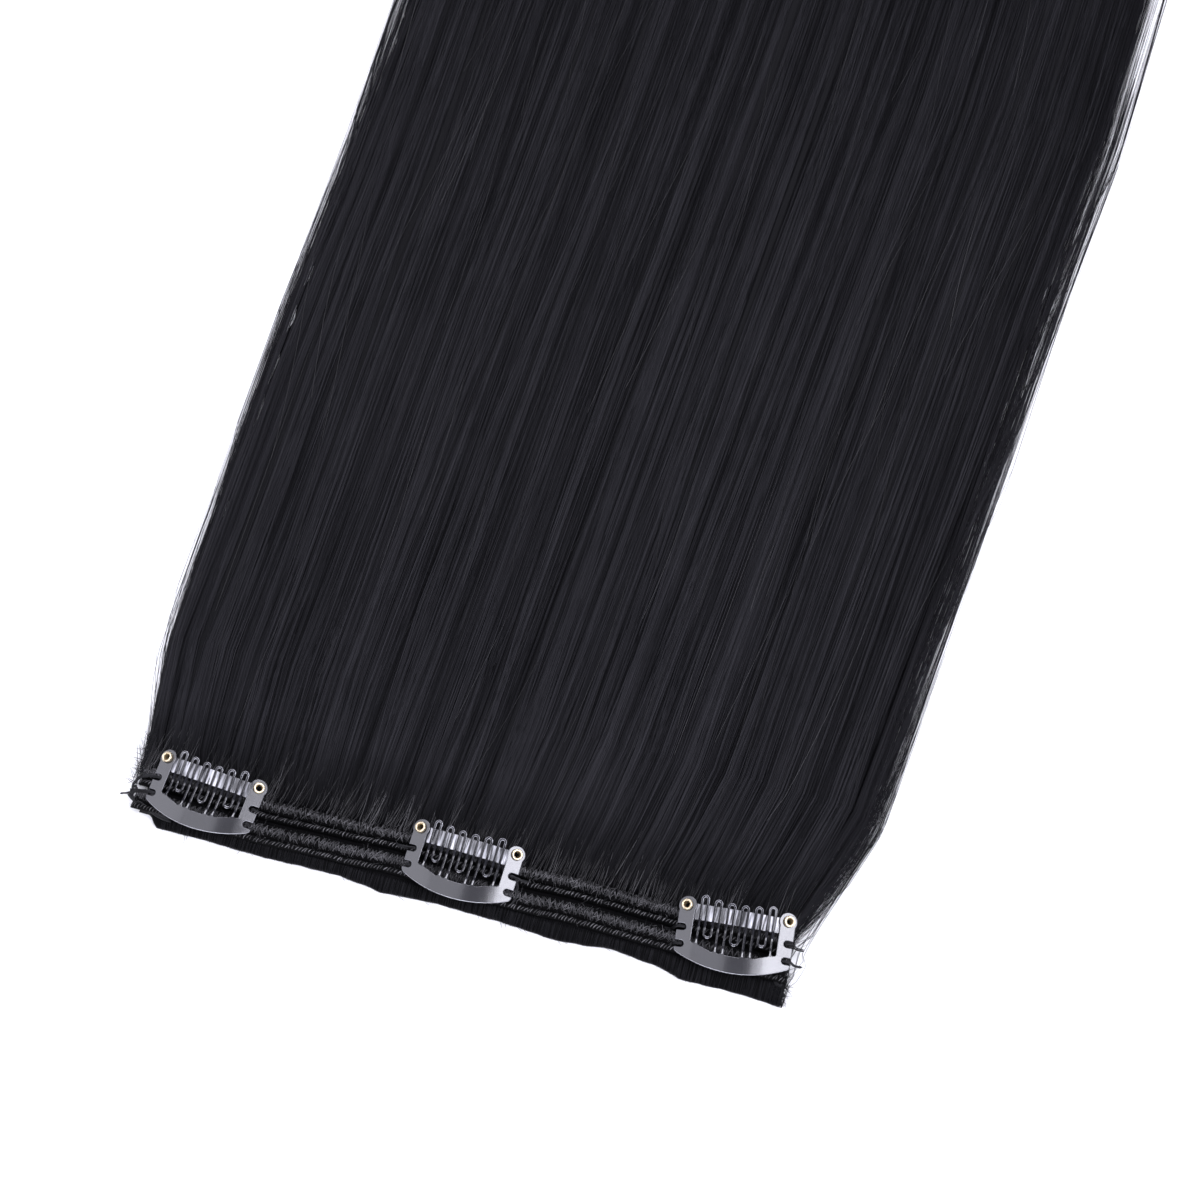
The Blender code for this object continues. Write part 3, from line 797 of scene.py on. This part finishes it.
clip = {
    "pitch": 8.0,
    "width": 32.6,
    "armWidth": 4.3,
    "armEndRadius": 2.5,
    "rivetRise": 17.1,
    "thickness": 0.55,
    "edgeRadius": 34.0,  # curve of the lower edge
    "cornerRadius": 1.6,
    "bowRadius": 48.0,  # the plate arches over its width
    "bandHeight": 3.4,
    "rootRise": 4.6,
    "notchRises": (6.2, 10.9),
    "notchWidth": 1.9,
    "notchDepth": 2.6,
    "toothPitch": 3.8,
    "toothRise": 19.25,
    "toothWire": 0.7,
    "loopRadius": 0.85,
    "toothLineRadius": 40.0,
    "dipRise": 4.3,
    "slotRadius": 0.7,
    "barWidth": 4.4,
    "barRise": 13.4,
    "barThickness": 0.5,
    "barSag": 0.6,
    "barEndRadius": 2.1,
    "barEndTurn": 110.0,
    "eyeletBore": 1.7,
    "eyeletWall": 0.3,
    "eyeletHead": 3.3,
    "eyeletFoot": 3.1,
    "footThick": 0.35,
    "headRise": 0.22,
    "rollWidth": 0.76,
    "rollHeight": 0.72,
    "rivetGap": 0.2,
    "boreGap": 0.3,
    "gap": 0.3,
    "seam": 5.0,  # the comb bends away from the frame here
    "seamHalf": 11.2,
    "bendEnd": 8.0,
    "plateEdge": 0.16,
    "wireEdge": 0.19,
    "barEdge": 0.12,
    "roundAngle": 0.9,
    "arcStep": 12.0,
    "bowStep": 0.8,
    "riseStep": 0.5,
    "toothPlay": 0.06,  # the teeth's rest over the bar
    "rootLevel": 0.15,  # the legs start level
    "rootBend": 1.9,  # and drop steeply this far from their roots
    "rootDrop": 0.57,
    "legSlope": 0.11,  # then gently
    "lowRise": 11.4,  # to here, and rise to the bar
    "tipSlope": 0.115,  # and on over it to their tips
    "armBend": 3.0,  # the arms turn down this much more than the plate's ends
    "rimGleam": (0.25, 1.6, 0.08),  # painted highlight of any rounded edge, more where it faces forwards, and the least
    # painted highlight on the comb's rims by rise: bright at the roots and loop tips, none along the legs
    "combRims": ((0.0, 1.0), (5.5, 0.5), (7.0, 0.0), (17.0, 0.0), (18.0, 0.3), (19.0, 1.0)),
    "tipRims": (17.5, 0.5),  # painted gleam all round the loops above here
    "dipGlint": (3.5, 0.6),  # a painted glint in each dip: its rise from the root, and its reach
}
halfClip = clip["width"] / 2
halfInner = halfClip - clip["armWidth"]
rivetU = halfClip - clip["armWidth"] / 2
bowTurn = asin(halfInner / clip["bowRadius"]) + radians(clip["armBend"])
armSlope = tan(bowTurn)
toothEnd = clip["toothRise"] + 2  # past the outermost loops
rivetHole = clip["eyeletBore"] / 2 + clip["eyeletWall"] + clip["boreGap"]


def arc(centre, radius, start, end):
    steps = max(2, round(abs(end - start) / clip["arcStep"]))
    angles = [radians(start + (end - start) * k / steps) for k in range(steps + 1)]
    return [(centre[0] + radius * cos(a), centre[1] + radius * sin(a)) for a in angles]


def mirrored(points):
    return [(-u, v) for u, v in reversed(points)]


def bow(u):
    u = abs(u)
    rivet = sqrt(clip["bowRadius"] ** 2 - halfInner**2) - armSlope * (rivetU - halfInner)
    if u >= halfInner:
        return armSlope * (rivetU - u)
    return sqrt(clip["bowRadius"] ** 2 - u**2) - rivet


def barBow(u):
    sag = clip["barSag"] * max(0.0, 1 - (u / halfInner) ** 2)
    return bow(u) - clip["rivetGap"] - sag - clip["barThickness"]


def rootLine(u):
    return clip["edgeRadius"] - sqrt((clip["edgeRadius"] - clip["rootRise"]) ** 2 - u**2)


def toothTop(u):
    radius = clip["toothLineRadius"]
    return clip["toothRise"] + radius - sqrt(radius**2 - u**2)


def rightArm():
    # the plate's right half, from the middle of its lower edge up and round the arm
    reach = clip["edgeRadius"] - clip["cornerRadius"]
    cornerU = halfClip - clip["cornerRadius"]
    cornerV = clip["edgeRadius"] - sqrt(reach**2 - cornerU**2)
    turn = degrees(asin(cornerU / reach))
    steps = 16
    edge = [radians(turn * k / steps) for k in range(steps)]
    right = [(clip["edgeRadius"] * sin(a), clip["edgeRadius"] * (1 - cos(a))) for a in edge]
    right += arc((cornerU, cornerV), clip["cornerRadius"], turn - 90, 0)
    notch = clip["notchWidth"] / 2
    endU = halfClip - clip["notchDepth"] + notch
    for rise in clip["notchRises"]:
        right.append((halfClip, rise - notch))
        right += arc((endU, rise), notch, 270, 90)
        right.append((halfClip, rise + notch))
    lean = degrees(asin(clip["armWidth"] / 2 / clip["armEndRadius"]))
    return right + arc((rivetU, clip["rivetRise"]), clip["armEndRadius"], lean - 90, 270 - lean)


def slotFoot(u, width):
    # the round foot of a slot between two legs
    return arc((u, rootLine(u) + width / 2), width / 2, 0, -180)


def teeth():
    # over the six loops from the right arm to the left one, and the slots inside the three M shapes
    halfWire = clip["toothWire"] / 2
    outer, inner = clip["loopRadius"] + halfWire, clip["loopRadius"] - halfWire
    pitch = clip["toothPitch"]
    dipRadius = pitch / 2 - clip["loopRadius"]
    leg = pitch / 2 + clip["loopRadius"]
    radius = clip["slotRadius"]
    armSlot = halfInner - 2 * pitch - leg - halfWire
    over = slotFoot(halfInner - armSlot / 2, armSlot)
    slots = []
    for unit in (1, 0, -1):
        middle = 2 * pitch * unit
        dip = (middle, rootLine(middle) + clip["dipRise"])
        rightTop = (middle + pitch / 2, toothTop(middle + pitch / 2) - outer)
        leftTop = (middle - pitch / 2, toothTop(middle - pitch / 2) - outer)
        over += arc(rightTop, outer, 0, 180)
        over += arc(dip, dipRadius - halfWire, 0, -180)
        over += arc(leftTop, outer, 0, 180)
        if unit > -1:
            over += slotFoot(middle - pitch, 2 * (pitch - leg - halfWire))
        inside = leg - halfWire
        slot = arc(rightTop, inner, 0, 180)
        slot += arc(dip, dipRadius + halfWire, 0, -180)
        slot += arc(leftTop, inner, 0, 180)
        leftFoot = (middle - inside + radius, rootLine(middle - inside) + radius)
        rightFoot = (middle + inside - radius, rootLine(middle + inside) + radius)
        slots.append(slot + arc(leftFoot, radius, 180, 270) + arc(rightFoot, radius, 270, 360))
    return over + slotFoot(armSlot / 2 - halfInner, armSlot), slots


def rivetHoles():
    return [arc((side * rivetU, clip["rivetRise"]), rivetHole, 0, 360)[:-1] for side in (-1, 1)]


def stamped(outlines, thickness, edge):
    # the outlines filled, given a thickness and rounded edges; its underside lies at w = 0
    curve = bpy.data.curves.new("stamped", "CURVE")
    curve.dimensions = "2D"
    curve.fill_mode = "BOTH"
    curve.extrude = thickness / 2 - edge
    curve.bevel_depth = edge
    curve.bevel_resolution = 2
    curve.offset = -edge
    for outline in outlines:
        addSpline(curve, [(u, v, 0.0) for u, v in outline]).use_cyclic_u = True
    bm, _ = surfaceOf(curve, 1e-4)
    bmesh.ops.translate(bm, verts=bm.verts, vec=(0, 0, thickness / 2))
    bmesh.ops.recalc_face_normals(bm, faces=bm.faces)
    rim = bm.faces.layers.float.new("rim")
    # painted highlight: each rounded face gets a rim share, larger the more it faces forwards
    even, forward, least = clip["rimGleam"]
    for face in bm.faces:
        face.smooth = True
        rounded = 0.2 < face.normal.z < 0.999
        face[rim] = min(max(even - forward * face.normal.y, least), 1.0) if rounded else 0.0
    for edge in bm.edges:  # the flat sides end crisply at the rounded edges
        flats = [abs(face.normal.z) > 0.999 for face in edge.link_faces]
        level = len(flats) == 2 and flats[0] == flats[1]
        edge.smooth = level and edge.calc_face_angle(0.0) < clip["roundAngle"]
    return bm


def cutAcross(bm, places, axis):
    normal = (1, 0, 0) if axis == 0 else (0, 1, 0)
    for place in places:
        geometry = bm.verts[:] + bm.edges[:] + bm.faces[:]
        centre = Vector(normal) * place
        bmesh.ops.bisect_plane(bm, geom=geometry, dist=1e-5, plane_co=centre, plane_no=normal)


def bowPlaces():
    count = round(halfInner / clip["bowStep"])
    return [halfInner * k / count for k in range(-count, count + 1)]


def toothDrop(u, v):
    # the legs bend down at their roots, run low, and rise to rest on the bar
    rest = clip["rivetGap"] + clip["barSag"] * max(0.0, 1 - (u / halfInner) ** 2) - clip["toothPlay"]
    root = rootLine(u)
    low = clip["rootDrop"] + clip["legSlope"] * (clip["lowRise"] - root - clip["rootBend"])
    drops = (
        (root + clip["rootLevel"], 0.0),
        (root + clip["rootBend"], clip["rootDrop"]),
        (clip["lowRise"], low),
        (clip["barRise"], rest),
        (toothEnd, rest - clip["tipSlope"] * (toothEnd - clip["barRise"])),
    )
    return -lookUp(drops, v)


def combRim(u, v, facing):
    # painted highlight: how brightly a rim of the comb is painted, at the roots, in the dips and on the tips
    rise, reach = clip["dipGlint"]
    for unit in (-1, 0, 1):
        middle = 2 * clip["toothPitch"] * unit
        if hypot(u - middle, v - rootLine(middle) - rise) < reach:
            return 1.0
    start, gleam = clip["tipRims"]
    return lookUp(clip["combRims"], v) * (max(facing, gleam) if v > start else facing)


def closeSeam(bm):
    # flat walls where frame and comb part: one along the seam and one up to the slot at each end of it
    def meets(corner, axis, place):
        return abs(corner.co[axis] - place) < 0.001

    rims = [edge for edge in bm.edges if edge.is_boundary]
    walls = [(1, clip["seam"])]
    for place in (-clip["seamHalf"], clip["seamHalf"]):
        walls.append((0, place))
        side = [corner for corner in bm.verts if meets(corner, 0, place)]
        rims.append(bm.edges.new([corner for corner in side if meets(corner, 1, clip["seam"])]))
    for axis, place in walls:
        wall = [edge for edge in rims if all(meets(corner, axis, place) for corner in edge.verts)]
        bmesh.ops.edgeloop_fill(bm, edges=wall)


def plateHalf(edge, isComb):
    # one stamping makes frame and comb, which part along the seam below the teeth
    over, slots = teeth()
    right = rightArm()
    bm = stamped([right + over + mirrored(right)[:-1]] + slots + rivetHoles(), clip["thickness"], edge)
    cutAcross(bm, bowPlaces(), 0)
    cutAcross(bm, [clip["seam"]], 1)
    gone = []
    for face in bm.faces:
        centre = face.calc_center_median()
        inComb = abs(centre.x) < clip["seamHalf"] and centre.y > clip["seam"]
        if inComb != isComb:
            gone.append(face)
    bmesh.ops.delete(bm, geom=gone, context="FACES")
    if isComb:
        count = round((toothEnd - clip["seam"]) / clip["riseStep"])
        cutAcross(bm, [clip["seam"] + clip["riseStep"] * (k + 0.5) for k in range(count)], 1)
        # the comb's rims get their painted highlight from combRim
        rim = bm.faces.layers.float["rim"]
        for face in bm.faces:
            if face[rim] > 0:
                face[rim] = combRim(*face.calc_center_median().xy, face[rim])
    closeSeam(bm)
    for corner in bm.verts:
        u, v, _ = corner.co
        corner.co.z += bow(u) + (toothDrop(u, v) if isComb else 0.0)
    bmesh.ops.recalc_face_normals(bm, faces=bm.faces)
    return finished("plate", bm)


def barMesh():
    low, high = clip["barRise"], clip["barRise"] + clip["barWidth"]
    right = [(halfInner - clip["gap"], low)]
    turn = clip["barEndTurn"]
    right += arc((rivetU, clip["rivetRise"]), clip["barEndRadius"], -turn, turn)
    right.append((halfInner - clip["gap"], high))
    bm = stamped([right + mirrored(right)] + rivetHoles(), clip["barThickness"], clip["barEdge"])
    cutAcross(bm, bowPlaces(), 0)
    for corner in bm.verts:
        corner.co.z += barBow(corner.co.x)
    return finished("bar", bm)


def eyeletMesh():
    # a turned tube: rolled head over the plate, foot under the bar
    bore = clip["eyeletBore"] / 2
    wall = bore + clip["eyeletWall"]
    low = clip["thickness"] + clip["headRise"]
    foot = -(2 * clip["rivetGap"] + clip["barThickness"])
    under = foot - clip["footThick"]
    flange = clip["eyeletFoot"] / 2
    profile = [(bore, under), (flange, under), (flange, foot), (wall, foot), (wall, low)]
    outside = clip["eyeletHead"] / 2
    for k in range(9):
        angle = pi * k / 8
        reach = outside - clip["rollWidth"] / 2 * (1 - cos(angle))
        profile.append((reach, low + clip["rollHeight"] * max(sin(angle), 0.0) ** 0.5))
    profile.append((bore + 0.05, low - 0.25))
    bm = bmesh.new()
    corners = [bm.verts.new((r, 0, w)) for r, w in profile]
    edges = [bm.edges.new(pair) for pair in zip(corners, corners[1:] + corners[:1])]
    bmesh.ops.spin(
        bm, geom=corners + edges, cent=(0, 0, 0), axis=(0, 0, 1), angle=2 * pi, steps=40, use_merge=True
    )
    bmesh.ops.remove_doubles(bm, verts=bm.verts, dist=1e-4)
    bmesh.ops.recalc_face_normals(bm, faces=bm.faces)
    return finished("eyelet", bm, 40)


def clipSeat(joint):
    # a clip's own frame, from the line that its comb swings about
    along = Vector(joint["axis"])
    pitch = radians(clip["pitch"])
    across = Vector((-along.y, along.x, 0.0)).normalized() * cos(pitch) + Vector((0, 0, sin(pitch)))
    turned = Matrix((along, across, along.cross(across))).transposed().to_4x4()
    hinge = Vector((0.0, clip["bandHeight"] + clip["gap"] / 2, bow(0.0) + clip["thickness"] / 2))
    turned.translation = Vector(joint["pos_m"]) / millimetre - turned.to_3x3() @ hinge
    return turned


def seated(mesh, place):
    copy = mesh.copy()
    copy.transform(place)
    return copy


seats = {}
frameMesh = plateHalf(clip["plateEdge"], False)
combMesh = plateHalf(clip["wireEdge"], True)
barOnly, eyeletOnly = barMesh(), eyeletMesh()
for joint in frame["joints"]:
    side = joint["child"].replace("_comb", "")
    seat = seats[side] = clipSeat(joint)
    addPiece(f"{side}_plate", seated(frameMesh, seat), "lacquer", f"{side}_frame")
    comb = addPiece(f"{side}_teeth", seated(combMesh, seat), "lacquer", body=None)
    start, end = (seat @ Vector((0, clip[rise], bow(0.0))) * millimetre for rise in ("seam", "bendEnd"))
    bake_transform(comb, "weft", f"{side}_comb", start, end)
    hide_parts(f"{side}_comb")
    addPiece(f"{side}_strip", seated(barOnly, seat), "strip", f"{side}_bar")
    for letter, way in (("a", -1), ("b", 1)):
        lean = Matrix.Rotation(way * bowTurn, 4, "Y")
        place = Matrix.Translation((way * rivetU, clip["rivetRise"], 0)) @ lean
        rivet = seated(eyeletOnly, seat @ place)
        addPiece(f"{side}_rivet_{letter}", rivet, "brass", f"{side}_eyelet_{letter}")
print("clips made")


# Sewing threads through the notches

threads = {
    "thick": 0.16,
    "perNotch": 5,
    "spread": 0.42,
    "stretch": 3.2,
    "leftFuzz": 330,
    "rightFuzz": 230,
    # clip, side and notch where the thread lies out over the band; elsewhere it goes straight down
    "lyingOut": (
        ("left", -1, 0), ("left", -1, 1), ("middle", -1, 1), ("middle", 1, 1), ("right", -1, 1),
        ("right", 1, 0), ("right", 1, 1),
    ),
}


def twisted(path, count, spread, thick, turns=0.6):
    # several threads that follow one path, wound a little round each other
    for n in range(count):
        phase = 2 * pi * n / count + between(-0.4, 0.4)
        away = spread * between(0.5, 1.0)
        points = []
        for k, point in enumerate(path):
            angle = phase + 2 * pi * turns * k / (len(path) - 1)
            points.append(point + Vector((cos(angle), sin(angle) * 0.7, sin(angle) * 0.7)) * away)
        yield points, [thick * between(0.85, 1.1)] * len(points), between(0.1, 0.9)


def smoothPath(points, steps=4):
    # a smooth curve through given points
    path = []
    padded = [points[0], *points, points[-1]]
    for p0, p1, p2, p3 in zip(padded, padded[1:], padded[2:], padded[3:]):
        for k in range(steps):
            t = k / steps
            a = 2 * p1
            b = p2 - p0
            c = 2 * p0 - 5 * p1 + 4 * p2 - p3
            d = 3 * p1 - p0 - 3 * p2 + p3
            path.append((a + b * t + c * t * t + d * t**3) / 2)
    return path + [points[-1]]


def notchThreads(seat, way, rise, liesOut):
    inner = halfClip - clip["notchDepth"] + 0.55
    spread, thick = threads["spread"], threads["thick"]
    if not liesOut:
        low = (
            (inner, -0.9), (inner + 0.2, -0.3), (inner + 0.9, -0.2),
            (halfClip, -0.6), (halfClip + 0.8, -1.6),
        )
        path = [seat @ Vector((way * u, rise, bow(u) + w)) for u, w in low]
        return twisted(smoothPath(path), threads["perNotch"], spread * 0.8, thick)
    top = clip["thickness"]
    path = [
        Vector((way * inner, rise, bow(inner) - 0.8)),
        Vector((way * inner, rise, bow(inner) + top * 0.6)),
        Vector((way * (inner + 0.7), rise, bow(inner + 0.7) + top + 0.02)),
        Vector((way * (halfClip + 0.1), rise - 0.1, bow(halfClip) + top - 0.15)),
    ]
    path = [seat @ point for point in path]
    for reach, drop in ((1.3, 0.5), (threads["stretch"], 0.15)):
        point = seat @ Vector((way * (halfClip + reach), rise - 0.25, 0.0))
        point.z = bandTop(point.x, point.y) + drop
        path.append(point)
    return twisted(smoothPath(path), threads["perNotch"], spread, thick)


def wefted(x, y, z):
    return Vector((midX + x, frontY + y, z))


# listed threads: how many, how spread out, how thick, and their points over the weft
looseThreads = (
    (6, 0.5, 0.17, (
        (-93.0, 5.0, 5.6), (-95.5, 4.4, 5.3), (-97.2, 4.4, 4.4), (-96.6, 2.4, 3.4), (-94.4, 1.3, 3.6),
    )),
    (5, 0.45, 0.17, (
        (-93.6, 9.3, 6.2), (-96.2, 8.4, 5.4), (-97.6, 6.2, 4.6), (-97.0, 4.2, 4.6),
    )),
    (5, 0.4, 0.17, (
        (-97.6, 5.4, 4.2), (-96.4, 5.6, 5.4), (-96.0, 4.2, 5.2), (-97.2, 3.6, 4.2), (-98.0, 4.8, 3.8),
    )),
    (4, 0.28, 0.16, (
        (-96.9, 4.6, 4.2), (-98.4, 3.7, 3.6), (-100.6, 2.9, 3.2),
    )),
    (8, 0.75, 0.2, (
        (-98.0, 3.4, 3.2), (-95.6, 1.9, 3.6), (-92.0, 0.6, 3.8), (-88.0, -0.6, 3.9), (-84.0, -1.0, 3.6),
    )),
    (6, 0.6, 0.15, (
        (94.0, 9.2, 6.0), (96.4, 7.6, 5.2), (97.0, 4.0, 4.4), (96.2, 1.6, 3.4), (95.2, 0.4, 3.0),
    )),
    (5, 0.5, 0.15, (
        (95.8, 1.8, 3.4), (94.6, 1.0, 3.6), (94.8, -0.4, 3.0), (96.2, -1.0, 2.6), (96.8, 0.6, 2.8),
    )),
    (3, 0.3, 0.13, (
        (17.2, 8.4, 6.2), (18.4, 5.6, 5.6), (18.6, 3.0, 5.2), (18.0, 1.0, 4.6),
    )),
)


def endFuzz():
    for index in range(threads["leftFuzz"]):
        root = wefted(between(-98.5, -94.5), between(6.5, 20.0), between(1.5, 5.0))
        if index % 3 == 0:
            out, back = between(-4.4, -0.3), between(-1.5, 6.0)
        else:
            out, back = rng.gauss(-1.4, 1.3), between(5, 24)
        away = Vector((out, back, between(-1.6, 0.4)))
        bend = curl(1.0)
        points = []
        for k in range(6):
            point = root + away * (k / 5) + bend * (k / 5) ** 2
            point.z = max(point.z, 0.2)
            points.append(point)
        yield points, taper(6, between(0.04, 0.085)), between(0.0, 0.9)
    for _ in range(threads["rightFuzz"]):
        root = wefted(between(93.0, 97.8), between(-5.5, 4.0), between(0.8, 3.6))
        away = Vector((between(-0.8, 3.2), between(-2.4, 2.4), between(-1.2, 0.3)))
        points = [root + away * t + curl(0.15) for t in (0.0, 0.4, 0.75, 1.0)]
        points = [Vector((x, y, max(z, 0.15))) for x, y, z in points]
        yield points, taper(4, between(0.03, 0.06)), between(0.0, 0.7)


loops = []
for side, seat in seats.items():
    for way in (-1, 1):
        for notch, rise in enumerate(clip["notchRises"]):
            loops += notchThreads(seat, way, rise, (side, way, notch) in threads["lyingOut"])
for count, spread, thick, points in looseThreads:
    path = smoothPath([wefted(*point) for point in points])
    loops += twisted(path, count, spread, thick, 1.2)
addPiece("sewing_threads", strandMesh("threads", loops), "thread")
addPiece("end_fuzz", strandMesh("fuzz", endFuzz()), "wisp")
print("threads made")


# The floor, the light and the camera

studio = {
    "floorSize": 30.0,
    "floorGrey": 0.88,
    "skyStrength": 0.35,
    "skyEdge": 0.6,
    "skyColour": (0.92, 0.93, 1.0),
    "lampDistance": 3.0,
    # name, sideways and backward angle of its middle, width and depth in degrees, brightness
    "lamps": (
        ("overhead", -13.5, 0.0, 24.0, 22.0, 2.5),
        ("overhead_edge", 7.5, 0.0, 18.0, 22.0, 0.7),
        ("left_panel", -43.0, 0.0, 34.0, 22.0, 3.2),
        ("softbox_edge", 20.5, 0.0, 7.0, 26.0, 6.0),
        ("softbox", 33.0, 0.0, 18.0, 26.0, 14.0),
        ("back_strip", -6.0, 37.0, 34.0, 11.0, 12.0),
        ("front_strip", 0.0, -48.0, 46.0, 16.0, 7.0),
    ),
    "lampColour": (0.90, 0.90, 1.0),
}
view = {
    "target": (0.00278, -0.12021, 0.0),
    "azimuth": 15.466,
    "elevation": 65.0,
    "distance": 0.59364,
    "lens": 58.5,
    "sensor": 36.0,
}


def addFloor():
    bm = bmesh.new()
    bmesh.ops.create_grid(bm, x_segments=1, y_segments=1, size=studio["floorSize"] / 2)
    floor = addObject("floor", finished("floor", bm))
    colour = (*[studio["floorGrey"]] * 3, 1.0)
    finish = newMaterial("pale floor", Base_Color=colour, Roughness=0.9, Specular_IOR_Level=0.0)
    floor.data.materials.append(finish.owner)


def addLamp(name, sideways, backward, width, depth, brightness):
    toward = Vector((tan(radians(sideways)), tan(radians(backward)), 1.0)).normalized()
    lamp = bpy.data.lights.new(name, "AREA")
    lamp.shape = "RECTANGLE"
    lamp.size = 2 * studio["lampDistance"] * tan(radians(width / 2))
    lamp.size_y = 2 * studio["lampDistance"] * tan(radians(depth / 2))
    lamp.energy = brightness * pi * lamp.size * lamp.size_y
    lamp.color = studio["lampColour"]
    holder = addObject(name, lamp)
    holder.location = Vector((midX, frontY, 0)) * millimetre + toward * studio["lampDistance"]
    sideAxis = Vector((0, 1, 0)).cross(toward).normalized()
    turned = Matrix((sideAxis, toward.cross(sideAxis), toward)).transposed()
    holder.rotation_euler = turned.to_euler()
    holder.visible_camera = False


def addSky():
    # brighter towards the horizon, and kept out of the lacquer's reflections
    world = bpy.data.worlds.new("studio")
    bpy.context.scene.world = world
    world.cycles_visibility.glossy = False
    sky = Finish(world, "Background", Color=(*studio["skyColour"], 1.0))
    up = sky.node("ShaderNodeSeparateXYZ", {}, {0: sky.place("Generated")}).out(2)
    sky.surface(Strength=studio["skyStrength"] + studio["skyEdge"] * (1.0 - up) ** 4.0)


def addCamera():
    azimuth, elevation = radians(view["azimuth"]), radians(view["elevation"])
    back = Vector((sin(azimuth) * cos(elevation), -cos(azimuth) * cos(elevation), sin(elevation)))
    camera = addObject("camera", bpy.data.cameras.new("camera"))
    camera.data.sensor_fit = "HORIZONTAL"
    camera.data.sensor_width = view["sensor"]
    camera.data.lens = view["lens"]
    camera.data.clip_start = 0.01
    camera.location = Vector(view["target"]) + back * view["distance"]
    camera.rotation_euler = back.to_track_quat("Z", "Y").to_euler()
    bpy.context.scene.camera = camera


addFloor()
addSky()
for lamp in studio["lamps"]:
    addLamp(*lamp)
addCamera()
bpy.context.scene.view_settings.view_transform = "Standard"
print("studio made")
